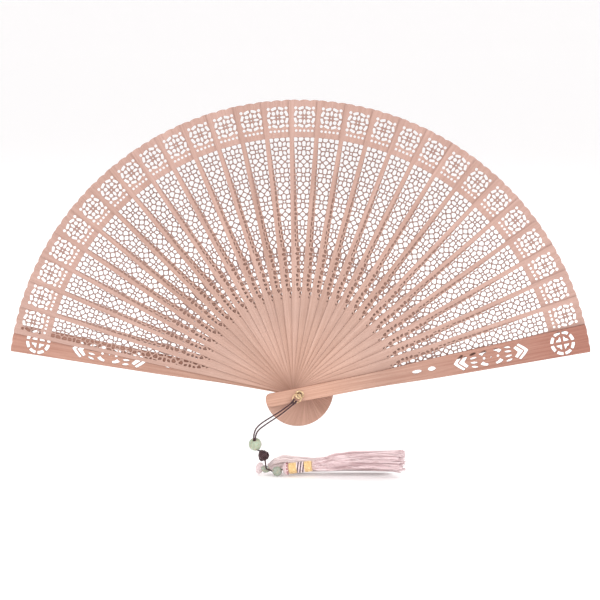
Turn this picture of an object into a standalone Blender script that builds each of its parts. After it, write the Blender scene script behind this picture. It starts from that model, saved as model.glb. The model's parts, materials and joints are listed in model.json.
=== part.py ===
"""Pierced wooden folding fan, spread open, with a beaded cord and a silk tassel.

The fan stands upright: +X to the right, +Z up, and its front faces -Y.
The origin is on the pivot's axis, half way through the stack of sticks.
"""

import math

import bmesh
import bpy
from mathutils import Vector

MM = 0.001

# Sticks. Every radius is measured from the pivot's axis.
REACH = 179.0 * MM
TAIL = 21.0 * MM
TAIL_CROWN = 0.3 * MM
LOBES = 3

BLADE_COUNT = 28
BLADE_THICKNESS = 0.50 * MM
BLADE_PIVOT_HALF = 3.8 * MM
BLADE_FLARE = 0.0325
BLADE_LOBE_DEPTH = 0.7 * MM
BLADE_TAIL_CORNER = 1.7 * MM

GUARD_THICKNESS = 2.0 * MM
GUARD_PIVOT_HALF = 4.1 * MM
GUARD_FLARE = 0.0252
GUARD_LOBE_DEPTH = 0.35 * MM
GUARD_TAIL_CORNER = 3.0 * MM
# The guards are a little narrower where the hand holds the closed fan.
GUARD_WAIST_DEPTH = 0.7 * MM
GUARD_WAIST_END = 92.0 * MM

LEAF_GAP = 0.25 * MM

# Angles of the sticks' centre lines when the fan is open, from +X towards +Z.
FRONT_GUARD_ANGLE = 11.2
BACK_GUARD_ANGLE = 169.6
LAST_BLADE_ANGLE = 16.65
BLADE_PITCH = 5.516
# The ribbon pulls the middle of the fan this far to the left, in degrees.
BLADE_DRIFT = 0.62

# Pivot hardware.
PIN_RADIUS = 1.20 * MM
PIN_HOLE_RADIUS = 1.29 * MM
PIN_HEAD_RADIUS = 2.2 * MM
PIN_HEAD_HEIGHT = 1.0 * MM
PIN_CROSS_HOLE_RADIUS = 0.75 * MM
WASHER_RADIUS = 2.8 * MM
WASHER_THICKNESS = 0.4 * MM
RING_RADIUS = 2.5 * MM
RING_WIRE_RADIUS = 0.42 * MM
RING_STAND_OFF = 2.3 * MM
PIN_TIP_STAND_OFF = 3.5 * MM
RING_LEAN = Vector((-0.64, 0.0, -0.77)).normalized()

# Cord, beads and tassel.
CORD_RADIUS = 0.45 * MM
HITCH_RADIUS = 1.1 * MM
CORD_GAP = 0.3 * MM
BEAD_LARGE_RADIUS = 4.0 * MM
BEAD_SMALL_RADIUS = 3.05 * MM
BEAD_BORE_RADIUS = 0.8 * MM
KNOT_RADIUS = 3.8 * MM
LEAF_SIZE = Vector((6.4, 3.0, 5.0)) * MM
CAP_RADIUS = 3.7 * MM
WRAP_RADIUS = 3.35 * MM
REAR_CAP_RADIUS = 2.6 * MM

STACK_HALF = (BLADE_COUNT * BLADE_THICKNESS + (BLADE_COUNT + 1) * LEAF_GAP) / 2 + GUARD_THICKNESS

# The cord's route from the ring down to the large bead, and the places of what hangs on it.
CORD_ROUTE = [
    Vector((-4.4, -14.9, -5.3)) * MM,
    Vector((-11.9, -15.3, -11.0)) * MM,
    Vector((-21.0, -16.2, -16.8)) * MM,
    Vector((-25.2, -17.4, -20.1)) * MM,
    Vector((-26.9, -19.0, -23.0)) * MM,
    Vector((-27.35, -20.3, -25.9)) * MM,
]
STRAND_SPREAD = [0.65, 0.9, 1.1, 0.9, 0.7, 0.65]
BEAD_LARGE_PLACE = Vector((-27.0, -17.5, -29.7)) * MM
BEAD_LARGE_AXIS = Vector((-0.1, -0.6, 0.8)).normalized()
BEAD_SMALL_AXIS = Vector((1.0, 0.0, 0.1)).normalized()
KNOT_PLACE = Vector((-22.1, -19.0, -36.4)) * MM
LEAF_PLACE = Vector((-20.6, -20.5, -44.5)) * MM
LOWER_CORD_ROUTE = [
    Vector((-20.2, -22.7, -43.6)) * MM,
    Vector((-18.9, -22.7, -44.3)) * MM,
    Vector((-17.6, -22.2, -44.9)) * MM,
]
BEAD_SMALL_PLACE = Vector((-13.6, -21.4, -45.6)) * MM
TASSEL_START = Vector((-10.0, -22.0, -44.3)) * MM
TASSEL_DIRECTION = Vector((15.2, -1.0, 1.9)).normalized()
CAP_LENGTH = 3.6 * MM
WRAP_LENGTHS = [4.3 * MM, 4.5 * MM, 4.0 * MM]
SKIRT_STATIONS = [
    (Vector((12.0, -23.4, -41.45)) * MM, 4.4 * MM),
    (Vector((22.0, -24.0, -39.4)) * MM, 5.8 * MM),
    (Vector((36.0, -24.5, -38.6)) * MM, 6.6 * MM),
    (Vector((52.0, -25.0, -38.7)) * MM, 7.3 * MM),
    (Vector((64.5, -25.5, -38.9)) * MM, 7.5 * MM),
]
REAR_CAP_PLACE = Vector((-24.3, -14.2, -44.8)) * MM
REAR_CAP_LENGTH = 7.0 * MM
REAR_SKIRT_STATIONS = [
    (Vector((-19.5, -11.5, -44.6)) * MM, 2.6 * MM),
    (Vector((-15.0, -10.6, -43.0)) * MM, 4.6 * MM),
    (Vector((-9.5, -10.0, -42.4)) * MM, 5.6 * MM),
    (Vector((-2.0, -9.8, -43.0)) * MM, 4.8 * MM),
    (Vector((8.0, -9.6, -43.6)) * MM, 4.4 * MM),
    (Vector((24.0, -9.0, -43.2)) * MM, 5.0 * MM),
    (Vector((42.0, -9.0, -42.8)) * MM, 5.5 * MM),
    (Vector((58.0, -9.5, -42.6)) * MM, 5.4 * MM),
]

# Guard piercings: places along the guard from the pivot.
MEDALLION_PLACE = 163.0 * MM
MEDALLION_RADIUS = 6.45 * MM
CARTOUCHE_PLACE = 118.7 * MM
LOZENGE_PLACES = [72.8 * MM, 82.0 * MM]
LOZENGE_SIZES = [(3.05 * MM, 1.1 * MM), (2.45 * MM, 1.4 * MM)]


def clear_scene():
    for item in list(bpy.data.objects):
        bpy.data.objects.remove(item, do_unlink=True)


def make_collection(name, hidden=False):
    collection = bpy.data.collections.new(name)
    bpy.context.scene.collection.children.link(collection)
    collection.hide_render = hidden
    return collection


def make_material(name, colour, roughness, metallic=0.0):
    material = bpy.data.materials.new(name)
    material.use_nodes = True
    shader = material.node_tree.nodes["Principled BSDF"]
    shader.inputs["Base Color"].default_value = (*colour, 1.0)
    shader.inputs["Roughness"].default_value = roughness
    shader.inputs["Metallic"].default_value = metallic
    return material


def add_object(name, data, collection, material):
    item = bpy.data.objects.new(name, data)
    collection.objects.link(item)
    if not data.materials:
        data.materials.append(material)
    return item


def arc(centre, radius, start, end, steps):
    """Points on an arc; the angles are in degrees."""
    points = []
    for step in range(steps + 1):
        angle = math.radians(start + (end - start) * step / steps)
        points.append((centre[0] + radius * math.cos(angle), centre[1] + radius * math.sin(angle)))
    return points


def blade_half_width(radius):
    """Half a blade's width: its straight sides spread from the pivot to the tip."""
    return BLADE_PIVOT_HALF + BLADE_FLARE * radius


def guard_half_width(radius):
    share = min(max(radius / GUARD_WAIST_END, 0.0), 1.0)
    waist = GUARD_WAIST_DEPTH * math.sin(math.pi * share) ** 2
    return GUARD_PIVOT_HALF + GUARD_FLARE * radius - waist


def tail_end(half, corner):
    """The rounded lower end of a stick, from its left side round to its right side."""
    corner_height = -(TAIL - TAIL_CROWN - corner)
    inset = half - corner
    left = arc((-inset, corner_height), corner, 180, 262, 3)
    right = arc((inset, corner_height), corner, 278, 360, 3)
    return left + [(0.0, -TAIL)] + right


def scalloped_tip(half_width, lobe_depth):
    """The small lobes along a stick's outer end, from its right side to its left side."""
    half_angle = math.asin(half_width(REACH) / REACH)
    steps = LOBES * 4
    points = []
    for step in range(steps + 1):
        share = step / steps
        angle = half_angle * (1 - 2 * share)
        lobe = abs(math.sin(math.pi * LOBES * share))
        radius = REACH - lobe_depth * (1 - lobe)
        points.append((radius * math.sin(angle), radius * math.cos(angle)))
    return points


def stick_outline(half_width, lobe_depth, corner, side_stations):
    """A stick's outline: straight past the pivot at its tail, and widening above it."""
    outline = tail_end(half_width(0.0), corner)
    outline += [(half_width(radius), radius) for radius in side_stations]
    outline += scalloped_tip(half_width, lobe_depth)
    outline += [(-half_width(radius), radius) for radius in reversed(side_stations)]
    return outline


def pin_hole():
    return arc((0.0, 0.0), PIN_HOLE_RADIUS, 0, 337.5, 15)


def lozenge(place, half_length, half_width):
    return [
        (0.0, place - half_length),
        (half_width, place),
        (0.0, place + half_length),
        (-half_width, place),
    ]


def slit(start, end, half_width):
    """A long hexagonal slit between two points, pointed at both ends."""
    start = Vector(start)
    end = Vector(end)
    along = (end - start).normalized() * half_width
    across = Vector((-along.y, along.x))
    corners = [
        start - along,
        start + across,
        end + across,
        end + along,
        end - across,
        start - across,
    ]
    return [(corner.x, corner.y) for corner in corners]


def medallion_openings():
    """Eight slits in a ring, and four wedges that leave a cross of wood inside it."""
    openings = []
    for number in range(8):
        ends = []
        for shift in (-0.23, 0.23):
            angle = (number + 0.5 + shift) * math.pi / 4
            ends.append((
                MEDALLION_RADIUS * math.cos(angle),
                MEDALLION_PLACE + MEDALLION_RADIUS * math.sin(angle),
            ))
        openings.append(slit(ends[0], ends[1], 0.85 * MM))
    for side in (-1, 1):
        for end in (-1, 1):
            corners = [(0.8, 1.0), (1.3, 3.5), (2.5, 2.9), (3.9, 1.1)]
            openings.append([
                (side * across * MM, MEDALLION_PLACE + end * along * MM) for across, along in corners
            ])
    return openings


def crescent(side):
    """A comma-shaped quarter of an oval ring, in millimetres from the cartouche's middle."""
    outer = []
    inner = []
    for step in range(5):
        angle = math.radians(30 + 12 * step)
        across = math.sin(angle) ** 0.7
        along = math.cos(angle) ** 0.7
        width = 1.9 - 0.22 * step
        outer.append((side * 4.7 * across, 7.8 * along))
        inner.append((side * (4.7 - width) * across, (7.8 - width) * along))
    return outer + inner[::-1]


def cartouche_half(end):
    """One half of the long cartouche; end is 1 for the outer half and -1 for the inner one."""

    def place(across, along):
        return (across * MM, CARTOUCHE_PLACE + end * along * MM)

    chevron = [(0.0, 23.0), (4.7, 17.8), (4.1, 16.6), (0.0, 21.2), (-4.1, 16.6), (-4.7, 17.8)]
    arrow = [(0.0, 19.6), (3.6, 15.7), (2.7, 14.7), (0.0, 17.1), (-2.7, 14.7), (-3.6, 15.7)]
    openings = [[place(*corner) for corner in outline] for outline in (chevron, arrow)]
    for side in (-1, 1):
        openings.append(slit(place(side * 4.2, 9.4), place(side * 3.6, 12.2), 0.5 * MM))
        openings.append(slit(place(side * 1.7, 9.2), place(side * 1.3, 12.6), 0.5 * MM))
        openings.append([place(*corner) for corner in crescent(side)])
    openings.append(lozenge(CARTOUCHE_PLACE + end * 4.3 * MM, 1.0 * MM, 0.8 * MM))
    return openings


def guard_openings():
    openings = [pin_hole()]
    for place, size in zip(LOZENGE_PLACES, LOZENGE_SIZES):
        openings.append(lozenge(place, *size))
    openings += cartouche_half(1)
    openings += cartouche_half(-1)
    openings += medallion_openings()
    return openings


def flat_curve(name, loops, thickness):
    """A flat board with openings: local Y runs along the stick and local Z through it."""
    curve = bpy.data.curves.new(name, "CURVE")
    curve.dimensions = "2D"
    curve.fill_mode = "BOTH"
    curve.extrude = thickness / 2
    for loop in loops:
        spline = curve.splines.new("POLY")
        spline.points.add(len(loop) - 1)
        for point, place in zip(spline.points, loop):
            point.co = (place[0], place[1], 0.0, 1.0)
        spline.use_cyclic_u = True
    return curve


def place_stick(item, depth, angle):
    item.location = (0.0, depth, 0.0)
    item.rotation_euler = (math.pi / 2, math.radians(90 - angle), 0.0)


def blade_angle(number):
    place = BLADE_COUNT - number
    drift = BLADE_DRIFT * math.sin(math.pi * place / (BLADE_COUNT - 1))
    return LAST_BLADE_ANGLE + BLADE_PITCH * place + drift


def blade_depth(number):
    step = BLADE_THICKNESS + LEAF_GAP
    return -STACK_HALF + GUARD_THICKNESS + step * (BLADE_COUNT - number + 1) - BLADE_THICKNESS / 2


def make_sticks(collection, wood, guard_wood):
    outline = stick_outline(blade_half_width, BLADE_LOBE_DEPTH, BLADE_TAIL_CORNER, [0.0])
    blade = flat_curve("blade", [outline, pin_hole()], BLADE_THICKNESS)
    for number in range(1, BLADE_COUNT + 1):
        item = add_object(f"blade_{number:02d}", blade, collection, wood)
        place_stick(item, blade_depth(number), blade_angle(number))
    waist = [GUARD_WAIST_END * step / 8 for step in range(9)]
    outline = stick_outline(guard_half_width, GUARD_LOBE_DEPTH, GUARD_TAIL_CORNER, waist)
    guard = flat_curve("guard", [outline] + guard_openings(), GUARD_THICKNESS)
    depth = STACK_HALF - GUARD_THICKNESS / 2
    place_stick(add_object("guard_front", guard, collection, guard_wood), -depth, FRONT_GUARD_ANGLE)
    place_stick(add_object("guard_back", guard, collection, guard_wood), depth, BACK_GUARD_ANGLE)


def turned(name, profile, collection, material, steps=16):
    """A turned body: the profile is (radius, height) pairs, from the top down the outer side."""
    mesh = bpy.data.meshes.new(name)
    closed = profile[0][0] > 0
    edges = [(index, index + 1) for index in range(len(profile) - 1)]
    if closed:
        edges.append((len(profile) - 1, 0))
    mesh.from_pydata([(radius, 0.0, height) for radius, height in profile], edges, [])
    item = add_object(name, mesh, collection, material)
    screw = item.modifiers.new("turn", "SCREW")
    screw.steps = steps
    screw.render_steps = steps
    screw.use_merge_vertices = True
    screw.merge_threshold = 0.00001
    screw.use_smooth_shade = True
    return item


def point_along(item, direction):
    """Turn an object so that its local Z lies along a direction."""
    item.rotation_mode = "QUATERNION"
    item.rotation_quaternion = Vector((0, 0, 1)).rotation_difference(direction)


def make_pin(collection, cutters, brass):
    head_top = -(STACK_HALF + 2 * LEAF_GAP + WASHER_THICKNESS)
    tip = STACK_HALF + PIN_TIP_STAND_OFF
    chamfer = 0.25 * MM
    dimple = 0.5 * MM
    profile = [
        (0.0, tip - dimple),
        (PIN_RADIUS - 2 * chamfer, tip),
        (PIN_RADIUS - chamfer, tip),
        (PIN_RADIUS, tip - chamfer),
        (PIN_RADIUS, head_top),
        (PIN_HEAD_RADIUS, head_top),
        (PIN_HEAD_RADIUS, head_top - 0.4 * PIN_HEAD_HEIGHT),
        (0.7 * PIN_HEAD_RADIUS, head_top - 0.85 * PIN_HEAD_HEIGHT),
        (0.0, head_top - PIN_HEAD_HEIGHT),
    ]
    pin = turned("pivot_pin", profile, collection, brass)
    pin.rotation_euler = (math.pi / 2, 0.0, 0.0)

    mesh = bpy.data.meshes.new("cross_hole")
    shape = bmesh.new()
    bmesh.ops.create_cone(
        shape, cap_ends=True, segments=12, depth=6 * PIN_RADIUS,
        radius1=PIN_CROSS_HOLE_RADIUS, radius2=PIN_CROSS_HOLE_RADIUS,
    )
    shape.to_mesh(mesh)
    shape.free()
    cutter = bpy.data.objects.new("cross_hole", mesh)
    cutters.objects.link(cutter)
    cutter.location = (0.0, -(STACK_HALF + RING_STAND_OFF), 0.0)
    point_along(cutter, ring_tangent())
    cutter.hide_render = True
    cutter.display_type = "WIRE"
    cut = pin.modifiers.new("cross_hole", "BOOLEAN")
    cut.operation = "DIFFERENCE"
    cut.solver = "EXACT"
    cut.object = cutter


def ring_tangent():
    """The direction of the ring's wire where it passes through the pin."""
    return RING_LEAN.cross(Vector((0, 1, 0)))


def make_washers(collection, steel, brass):
    profile = [
        (PIN_HOLE_RADIUS, WASHER_THICKNESS / 2),
        (WASHER_RADIUS - 0.1 * MM, WASHER_THICKNESS / 2),
        (WASHER_RADIUS, 0.0),
        (WASHER_RADIUS - 0.1 * MM, -WASHER_THICKNESS / 2),
        (PIN_HOLE_RADIUS, -WASHER_THICKNESS / 2),
    ]
    depth = STACK_HALF + LEAF_GAP + WASHER_THICKNESS / 2
    for name, side, metal in (("washer_front", -1, steel), ("washer_back", 1, brass)):
        washer = turned(name, profile, collection, metal)
        washer.rotation_euler = (math.pi / 2, 0.0, 0.0)
        washer.location = (0.0, side * depth, 0.0)


def add_torus(name, major, minor, place, axis, collection, material, segments=(24, 8)):
    bpy.ops.mesh.primitive_torus_add(
        major_segments=segments[0], minor_segments=segments[1],
        major_radius=major, minor_radius=minor,
    )
    item = bpy.context.active_object
    for owner in list(item.users_collection):
        owner.objects.unlink(item)
    collection.objects.link(item)
    item.name = name
    item.data.name = name
    item.data.materials.append(material)
    item.data.shade_smooth()
    item.location = place
    point_along(item, axis)
    return item


def ring_place():
    return Vector((0.0, -(STACK_HALF + RING_STAND_OFF), 0.0)) + RING_RADIUS * RING_LEAN


def make_ring(collection, brass, silk):
    add_torus(
        "wire_ring", RING_RADIUS, RING_WIRE_RADIUS, ring_place(),
        Vector((0, -1, 0)), collection, brass,
    )
    add_torus(
        "cord_hitch", HITCH_RADIUS, CORD_RADIUS, ring_place() + RING_RADIUS * RING_LEAN,
        ring_tangent(), collection, silk, segments=(14, 8),
    )


def smooth_route(route, step):
    """A Catmull-Rom curve through the route's points, with a point about every step."""
    points = []
    for index in range(len(route) - 1):
        before = route[max(index - 1, 0)]
        start = route[index]
        end = route[index + 1]
        after = route[min(index + 2, len(route) - 1)]
        count = max(1, round((end - start).length / step))
        for part in range(count):
            t = part / count
            points.append(0.5 * (
                2 * start
                + (end - before) * t
                + (2 * before - 5 * start + 4 * end - after) * t * t
                + (3 * start - before - 3 * end + after) * t * t * t
            ))
    points.append(route[-1])
    return points


def tube(name, places, radii, collection, material, resolution=2):
    curve = bpy.data.curves.new(name, "CURVE")
    curve.dimensions = "3D"
    curve.bevel_depth = 1.0
    curve.bevel_resolution = resolution
    curve.use_fill_caps = True
    spline = curve.splines.new("POLY")
    spline.points.add(len(places) - 1)
    for point, place, radius in zip(spline.points, places, radii):
        point.co = (*place, 1.0)
        point.radius = radius
    return add_object(name, curve, collection, material)


def make_cord(collection, silk):
    step = 2.5 * CORD_RADIUS * 2
    for name, side in (("cord_strand_left", -1), ("cord_strand_right", 1)):
        route = []
        for place, spread in zip(CORD_ROUTE, STRAND_SPREAD):
            route.append(place + side * spread * MM * Vector((0.77, 0.0, -0.64)))
        places = smooth_route(route, step)
        tube(name, places, [CORD_RADIUS] * len(places), collection, silk)
    places = smooth_route(LOWER_CORD_ROUTE, step)
    tube("cord_lower", places, [CORD_RADIUS] * len(places), collection, silk)


def bead(name, radius, place, axis, collection, jade):
    """A round bead bored along its axis."""
    opening = math.degrees(math.asin(BEAD_BORE_RADIUS / radius))
    profile = arc((0.0, 0.0), radius, 90 - opening, opening - 90, 10)
    item = turned(name, profile, collection, jade)
    item.location = place
    point_along(item, axis)


def soft_ball(name, size, place, collection, material, tilt=0.0):
    mesh = bpy.data.meshes.new(name)
    shape = bmesh.new()
    bmesh.ops.create_uvsphere(shape, u_segments=14, v_segments=9, radius=0.5)
    bmesh.ops.scale(shape, vec=size, verts=shape.verts)
    shape.to_mesh(mesh)
    shape.free()
    mesh.shade_smooth()
    item = add_object(name, mesh, collection, material)
    item.location = place
    item.rotation_euler = (0.0, math.radians(tilt), 0.0)


def make_beads(collection, jade, silk):
    bead("bead_large", BEAD_LARGE_RADIUS, BEAD_LARGE_PLACE, BEAD_LARGE_AXIS, collection, jade)
    soft_ball("cord_knot", Vector((2, 2, 2)) * KNOT_RADIUS, KNOT_PLACE, collection, silk)
    soft_ball("bead_leaf", LEAF_SIZE, LEAF_PLACE, collection, jade, tilt=20)
    bead("bead_small", BEAD_SMALL_RADIUS, BEAD_SMALL_PLACE, BEAD_SMALL_AXIS, collection, jade)


def barrel(name, length, radius, crown, start, direction, collection, material):
    """A short turned wrap that bulges a little in its middle."""
    edge = radius - crown
    profile = [
        (0.0, length / 2),
        (edge - 0.2 * MM, length / 2),
        (edge, 0.42 * length),
        (radius, 0.2 * length),
        (radius, -0.2 * length),
        (edge, -0.42 * length),
        (edge - 0.2 * MM, -length / 2),
        (0.0, -length / 2),
    ]
    item = turned(name, profile, collection, material)
    item.location = start + direction * length / 2
    point_along(item, direction)


def make_tassel(collection, pink, gold_silk, band_silk):
    place = TASSEL_START.copy()
    direction = TASSEL_DIRECTION
    barrel("tassel_cap", CAP_LENGTH, CAP_RADIUS, 0.6 * MM, place, direction, collection, pink)
    place += direction * (CAP_LENGTH + CORD_GAP)
    names = ("tassel_wrap_upper", "tassel_wrap_middle", "tassel_wrap_lower")
    for name, length, silk in zip(names, WRAP_LENGTHS, (gold_silk, band_silk, gold_silk)):
        barrel(name, length, WRAP_RADIUS, 0.2 * MM, place, direction, collection, silk)
        place += direction * (length + CORD_GAP)
    places = [place] + [station[0] for station in SKIRT_STATIONS]
    radii = [WRAP_RADIUS] + [station[1] for station in SKIRT_STATIONS]
    tube("tassel_skirt", places, radii, collection, pink, resolution=4)
    barrel(
        "tassel_rear_cap", REAR_CAP_LENGTH, REAR_CAP_RADIUS, 0.7 * MM,
        REAR_CAP_PLACE - Vector((0.3, 0, 0.95)).normalized() * REAR_CAP_LENGTH / 2,
        Vector((0.3, 0, 0.95)).normalized(), collection, pink,
    )
    places = [station[0] for station in REAR_SKIRT_STATIONS]
    radii = [station[1] for station in REAR_SKIRT_STATIONS]
    tube("tassel_rear_skirt", places, radii, collection, pink, resolution=4)


def main():
    clear_scene()
    parts = make_collection("sandalwood_folding_fan")
    cutters = make_collection("cutters", hidden=True)

    wood = make_material("blade_wood", (0.62, 0.40, 0.29), 0.62)
    guard_wood = make_material("guard_wood", (0.60, 0.36, 0.28), 0.55)
    brass = make_material("brass", (0.80, 0.58, 0.30), 0.30, 1.0)
    steel = make_material("steel", (0.55, 0.52, 0.56), 0.35, 1.0)
    silk = make_material("cord_silk", (0.09, 0.03, 0.035), 0.70)
    jade = make_material("jade", (0.44, 0.50, 0.38), 0.25)
    pink = make_material("tassel_silk", (0.82, 0.62, 0.60), 0.60)
    gold_silk = make_material("wrap_silk", (0.80, 0.58, 0.25), 0.50)
    band_silk = make_material("band_silk", (0.70, 0.52, 0.50), 0.55)

    make_sticks(parts, wood, guard_wood)
    make_pin(parts, cutters, brass)
    make_washers(parts, steel, brass)
    make_ring(parts, brass, silk)
    make_cord(parts, silk)
    make_beads(parts, jade, silk)
    make_tassel(parts, pink, gold_silk, band_silk)


main()
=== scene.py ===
"""Looks of the pierced wooden folding fan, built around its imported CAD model."""

import json
import random
from math import asin, atan2, cos, degrees, exp, hypot, pi, radians, sin, sqrt

import bmesh
import bpy
from mathutils import Matrix
from mathutils import Vector


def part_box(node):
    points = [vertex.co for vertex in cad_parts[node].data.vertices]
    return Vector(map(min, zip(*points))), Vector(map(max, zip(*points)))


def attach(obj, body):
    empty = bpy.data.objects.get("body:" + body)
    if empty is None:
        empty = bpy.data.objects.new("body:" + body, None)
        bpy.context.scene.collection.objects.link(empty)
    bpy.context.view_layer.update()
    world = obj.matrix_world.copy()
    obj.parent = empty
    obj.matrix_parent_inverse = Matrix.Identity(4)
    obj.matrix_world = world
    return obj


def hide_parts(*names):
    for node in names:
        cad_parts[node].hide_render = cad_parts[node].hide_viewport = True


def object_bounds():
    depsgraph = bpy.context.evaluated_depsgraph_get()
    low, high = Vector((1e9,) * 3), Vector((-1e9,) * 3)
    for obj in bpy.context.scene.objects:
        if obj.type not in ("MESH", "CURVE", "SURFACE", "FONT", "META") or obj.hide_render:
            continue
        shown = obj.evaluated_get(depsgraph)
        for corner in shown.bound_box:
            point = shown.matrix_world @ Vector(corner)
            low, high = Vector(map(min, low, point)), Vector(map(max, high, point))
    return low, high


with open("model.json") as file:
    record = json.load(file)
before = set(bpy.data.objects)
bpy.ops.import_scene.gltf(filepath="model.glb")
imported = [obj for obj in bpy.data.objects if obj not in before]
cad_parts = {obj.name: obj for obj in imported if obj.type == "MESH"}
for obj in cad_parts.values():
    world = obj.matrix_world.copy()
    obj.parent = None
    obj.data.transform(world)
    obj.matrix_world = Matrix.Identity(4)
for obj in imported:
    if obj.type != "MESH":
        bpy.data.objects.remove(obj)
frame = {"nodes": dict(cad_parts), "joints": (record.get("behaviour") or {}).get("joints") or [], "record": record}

cad_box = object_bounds()

MM = 0.001


def mm(across, depth, height):
    """A place given in millimetres."""
    return Vector((across, depth, height)) * MM


# Camera: a long lens, level with the fan and looking a little down on it.
VIEW_ELEVATION = 6.5
VIEW_DISTANCE = 2.4
VIEW_WIDTH = 0.366
VIEW_TARGET = Vector((0.0003, 0.0, 0.0566))
SENSOR = 36.0

# Studio, in metres: the floor's near and far edge, the bend into the backdrop, and its size.
FLOOR_NEAR = -7.0
FLOOR_FAR = 5.0
SWEEP_RADIUS = 1.5
SWEEP_HEIGHT = 7.0
SWEEP_HALF_WIDTH = 9.0

# Sticks, in metres from the pivot's axis, as in the CAD model.
REACH = 179.0 * MM
TAIL = 21.0 * MM
TAIL_CROWN = 0.3 * MM
LOBES = 3
BLADE_PIVOT_HALF = 3.8 * MM
BLADE_FLARE = 0.0325
BLADE_LOBE_DEPTH = 0.7 * MM
BLADE_TAIL_CORNER = 1.7 * MM
BLADE_CHAMFER = 0.04 * MM
GUARD_PIVOT_HALF = 4.1 * MM
GUARD_FLARE = 0.0252
GUARD_LOBE_DEPTH = 0.35 * MM
GUARD_TAIL_CORNER = 3.0 * MM
GUARD_WAIST_DEPTH = 0.7 * MM
GUARD_WAIST_END = 92.0 * MM
GUARD_CHAMFER = 0.12 * MM
PIN_HOLE_RADIUS = 1.29 * MM
BLADE_COUNT = 28

# The blades' lattice, in millimetres from the pivot's axis: (distance, half the panel's width).
LATTICE_HALVES = [(57.0, 0.9), (66.0, 3.2), (100.0, 4.75), (156.0, 6.3)]
LATTICE_WALL = 0.63
WALL_GROWTH = 0.42
WALL_GROWS_BELOW = 104.0
WALL_GROWS_OVER = 34.0
MOTIF_PERIOD = 16.1
MOTIF_REPEATS = 7
FIRST_ROSETTE = 149.4
# One repeat: across, along and a weight that makes an opening larger or smaller.
CENTRE_SEEDS = [(0.0, 0.0, -3.0), (0.0, 3.0, 0.4), (0.0, -3.0, 0.4), (0.0, -8.0, 0.4)]
SIDE_SEEDS = [
    (2.85, 0.0, 0.0), (2.6, 2.6, 0.0), (2.6, -2.6, 0.0), (5.0, 2.2, 0.0), (4.9, -2.0, 0.0),
    (2.1, -5.7, 0.9), (4.8, -5.4, 0.0), (4.4, -7.8, -0.3), (2.1, -10.3, 0.5), (4.6, -10.2, 0.0),
]
SEED_REACH = 9.0
SMALLEST_OPENING = 0.42
NARROWEST_OPENING = 0.13
PANEL_CENTRE = 168.5
PANEL_RING = (4.95, 6.6)
DOT_ROW = 160.1
DOT_PITCH = 2.44
DOT_SIZE = 1.45
RIBBON_PLACE = 157.8 * MM
RIBBON_HEIGHT = 2.0 * MM
RIBBON_THICKNESS = 0.07 * MM
RIBBON_GAP = 0.03 * MM

# The guards' carving, in millimetres from the pivot's axis.
MEDALLION_CENTRE = 163.0
MEDALLION_RING = (5.5, 7.5)
CARTOUCHE_CENTRE = 118.7
OVAL_HALF_WIDTH = 4.95
OVAL_HALF_LENGTH = 7.95

# The wood's tones, each a share of its colour.
# Painted light: lifts the wood near the pivot, where the stacked sticks shade one another.
NEAR_PIVOT_LIGHT_TONE = (1.14, 1.08, 1.03)
# Painted shade: darkens the strip of a stick that lies behind the next one.
COVERED_SHADE_TONE = (0.50, 0.38, 0.34)

# Pivot hardware and cord, placed by the CAD model.
RING_LEAN = Vector((-0.64, 0.0, -0.77)).normalized()
RING_RADIUS = 2.5 * MM
RING_WIRE_RADIUS = 0.42 * MM
CORD_RADIUS = 0.45 * MM
CORD_ROUTE = [
    mm(-4.4, -14.9, -5.3),
    mm(-11.9, -15.3, -11.0),
    mm(-21.0, -16.2, -16.8),
    mm(-25.2, -17.4, -20.1),
    mm(-26.9, -19.0, -23.0),
    mm(-27.35, -20.3, -25.9),
]
STRAND_SIDE = Vector((0.77, 0.0, -0.64))
STRAND_SPREAD = [0.65, 0.9, 1.1, 0.9, 0.7, 0.6]
BEAD_AXIS = Vector((-0.1, -0.6, 0.8)).normalized()
SMALL_BEAD_AXIS = Vector((1.0, 0.0, 0.1)).normalized()
LEAF_TILT = radians(20)
LOWER_CORD_ROUTE = [mm(-20.2, -22.7, -43.6), mm(-18.9, -22.7, -44.3), mm(-17.6, -22.2, -44.9)]

# Tassel: the skirts' centres and radii from neck to end.
TASSEL_START = mm(-10.0, -22.0, -44.3)
TASSEL_DIRECTION = Vector((15.2, -1.0, 1.9)).normalized()
SKIRT_STATIONS = [
    (mm(7.4, -23.2, -42.1), 3.0 * MM),
    (mm(12.0, -23.4, -41.4), 4.3 * MM),
    (mm(22.0, -24.0, -39.4), 5.7 * MM),
    (mm(36.0, -24.5, -38.6), 6.5 * MM),
    (mm(52.0, -25.0, -38.7), 7.3 * MM),
    (mm(64.5, -25.5, -38.9), 7.8 * MM),
]
REAR_HEAD_DIRECTION = Vector((0.3, 0.0, 0.95)).normalized()
REAR_SKIRT_STATIONS = [
    (mm(-19.5, -11.5, -44.6), 2.3 * MM),
    (mm(-15.0, -10.6, -43.0), 4.4 * MM),
    (mm(-9.5, -10.0, -42.2), 5.6 * MM),
    (mm(-2.0, -9.8, -43.0), 4.8 * MM),
    (mm(8.0, -9.6, -43.6), 4.4 * MM),
    (mm(24.0, -9.0, -43.2), 5.0 * MM),
    (mm(42.0, -9.0, -42.8), 5.5 * MM),
    (mm(58.0, -9.5, -42.6), 5.4 * MM),
]
THREAD_RADIUS = 0.24 * MM
THREAD_PITCH = 0.34 * MM
STITCH_RADIUS = 0.42 * MM

JOINTS = {joint["name"]: joint for joint in frame["joints"]}
COUPLINGS = {row["joint"]: row for row in frame["record"]["behaviour"]["couplings"]}
CLOSING_TURN = JOINTS["guard_front_turn"]["range_deg"][1]
FLOOR_HEIGHT = cad_box[0].z - 0.2 * MM


# ---- helpers

def node_centre(name):
    low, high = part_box(name)
    return (low + high) / 2


def node_size(name):
    low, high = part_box(name)
    return high - low


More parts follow.
